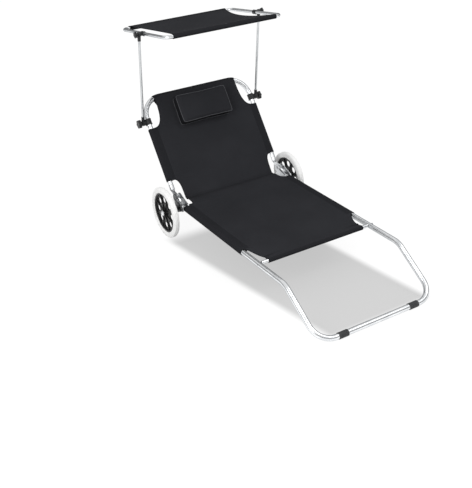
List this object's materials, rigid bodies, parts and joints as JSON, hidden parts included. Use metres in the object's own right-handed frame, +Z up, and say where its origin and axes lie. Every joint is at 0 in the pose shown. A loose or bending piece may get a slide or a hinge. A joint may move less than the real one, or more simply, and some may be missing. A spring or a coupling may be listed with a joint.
{
  "type": "sun lounger with canopy",
  "caption": "Sun lounger on wheels: bent-tube bed, reclining backrest with pillow, and a cloth canopy held on two swinging rods.",
  "frame": {"origin": "middle of the whole outline in plan, on the floor", "axes": "+X towards the sitter's left, +Y towards the head, +Z up"},
  "size_m": [0.7922, 1.6596, 1.0169],
  "materials": {
    "aluminium_tube": "bright anodised tube",
    "steel_fittings": "zinc-plated sheet and pins",
    "black_plastic": "moulded, satin",
    "black_rubber": "matte",
    "pale_tyre": "matte, near white",
    "cloth": "coated woven mesh",
    "pillow_cloth": "coated woven cover, padded"
  },
  "bodies": {
    "bed_frame": {"bed_tube": "aluminium_tube", "front_cross_tube": "aluminium_tube", "axle": "steel_fittings", "seat_cloth": "cloth", "cross_tube_screw_left": "steel_fittings", "cross_tube_screw_right": "steel_fittings", "foot_sleeve_left": "black_rubber", "foot_sleeve_right": "black_rubber", "hinge_plate_outer_left": "steel_fittings", "hinge_plate_outer_right": "steel_fittings", "hinge_plate_inner_left": "steel_fittings", "hinge_plate_inner_right": "steel_fittings", "fold_pin_left": "steel_fittings", "fold_pin_right": "steel_fittings", "rail_rivet_left": "steel_fittings", "rail_rivet_right": "steel_fittings", "pawl_spring_left": "steel_fittings", "pawl_spring_right": "steel_fittings", "axle_bracket_left": "steel_fittings", "axle_bracket_right": "steel_fittings", "axle_spacer_left": "steel_fittings", "axle_spacer_right": "steel_fittings", "hub_cap_left": "steel_fittings", "hub_cap_right": "steel_fittings"},
    "pawl_left": {"ratchet_pawl_left": "steel_fittings"},
    "pawl_right": {"ratchet_pawl_right": "steel_fittings"},
    "wheel_left": {"tyre_left": "pale_tyre", "wheel_disc_left": "black_plastic", "wheel_bush_left": "black_plastic"},
    "wheel_right": {"tyre_right": "pale_tyre", "wheel_disc_right": "black_plastic", "wheel_bush_right": "black_plastic"},
    "backrest": {"backrest_tube": "aluminium_tube", "back_cloth": "cloth", "pillow": "pillow_cloth", "ratchet_disc_left": "steel_fittings", "ratchet_disc_right": "steel_fittings", "lower_clamp_left": "black_plastic", "lower_clamp_right": "black_plastic"},
    "lower_bolts": {"lower_bolt_left": "steel_fittings", "lower_bolt_right": "steel_fittings"},
    "lower_knob_left": {"lower_knob_left": "black_plastic"},
    "lower_knob_right": {"lower_knob_right": "black_plastic"},
    "canopy_arms": {"arm_rod_left": "aluminium_tube", "arm_rod_right": "aluminium_tube", "lower_socket_left": "black_plastic", "lower_socket_right": "black_plastic", "upper_socket_left": "black_plastic", "upper_socket_right": "black_plastic"},
    "upper_bolts": {"upper_bolt_left": "steel_fittings", "upper_bolt_right": "steel_fittings"},
    "upper_knob_left": {"upper_knob_left": "black_plastic"},
    "upper_knob_right": {"upper_knob_right": "black_plastic"},
    "canopy": {"canopy_frame": "aluminium_tube", "canopy_joiner": "steel_fittings", "canopy_cloth": "cloth", "upper_clamp_left": "black_plastic", "upper_clamp_right": "black_plastic"}
  },
  "joints": [
    {"name": "backrest_fold", "type": "hinge", "parent": "bed_frame", "child": "backrest", "pos_m": [0, 0.3711, 0.2], "axis": [1, 0, 0], "range_deg": [-54, 118]},
    {"name": "lower_bolt_turn", "type": "hinge", "parent": "backrest", "child": "lower_bolts", "pos_m": [0, 0.63533, 0.51605], "axis": [1, 0, 0], "range_deg": [-41.3, 18.9]},
    {"name": "canopy_arm_swing", "type": "hinge", "parent": "lower_bolts", "child": "canopy_arms", "pos_m": [0, 0.63533, 0.51605], "axis": [-1, 0, 0], "range_deg": [-85, 150]},
    {"name": "upper_bolt_turn", "type": "hinge", "parent": "canopy_arms", "child": "upper_bolts", "pos_m": [0, 0.57878, 0.97659], "axis": [1, 0, 0], "range_deg": [-76.7, 35.1]},
    {"name": "canopy_tilt", "type": "hinge", "parent": "upper_bolts", "child": "canopy", "pos_m": [0, 0.57878, 0.97659], "axis": [1, 0, 0], "range_deg": [-90, 90]},
    {"name": "lower_knob_left_turn", "type": "hinge", "parent": "lower_bolts", "child": "lower_knob_left", "pos_m": [0.352, 0.63533, 0.51605], "axis": [1, 0, 0], "range_deg": [0, 180]},
    {"name": "upper_knob_left_turn", "type": "hinge", "parent": "upper_bolts", "child": "upper_knob_left", "pos_m": [0.348, 0.57878, 0.97659], "axis": [1, 0, 0], "range_deg": [0, 180]},
    {"name": "wheel_left_spin", "type": "hinge", "parent": "bed_frame", "child": "wheel_left", "pos_m": [0.372, 0.3851, 0.13], "axis": [1, 0, 0], "continuous": true},
    {"name": "pawl_left_lift", "type": "hinge", "parent": "bed_frame", "child": "pawl_left", "pos_m": [0.305, 0.33545, 0.17595], "axis": [1, 0, 0], "range_deg": [0, 10], "stiffness_Nm_per_rad": 0.05, "deforming": ["pawl_spring_left"]},
    {"name": "lower_knob_right_turn", "type": "hinge", "parent": "lower_bolts", "child": "lower_knob_right", "pos_m": [-0.352, 0.63533, 0.51605], "axis": [1, 0, 0], "range_deg": [0, 180]},
    {"name": "upper_knob_right_turn", "type": "hinge", "parent": "upper_bolts", "child": "upper_knob_right", "pos_m": [-0.348, 0.57878, 0.97659], "axis": [1, 0, 0], "range_deg": [0, 180]},
    {"name": "wheel_right_spin", "type": "hinge", "parent": "bed_frame", "child": "wheel_right", "pos_m": [-0.372, 0.3851, 0.13], "axis": [1, 0, 0], "continuous": true},
    {"name": "pawl_right_lift", "type": "hinge", "parent": "bed_frame", "child": "pawl_right", "pos_m": [-0.305, 0.33545, 0.17595], "axis": [1, 0, 0], "range_deg": [0, 10], "stiffness_Nm_per_rad": 0.05, "deforming": ["pawl_spring_right"]}
  ],
  "couplings": [
    {"joint": "lower_bolt_turn", "follows": "backrest_fold", "ratio": -0.35},
    {"joint": "upper_bolt_turn", "follows": "backrest_fold", "ratio": -0.65}
  ]
}
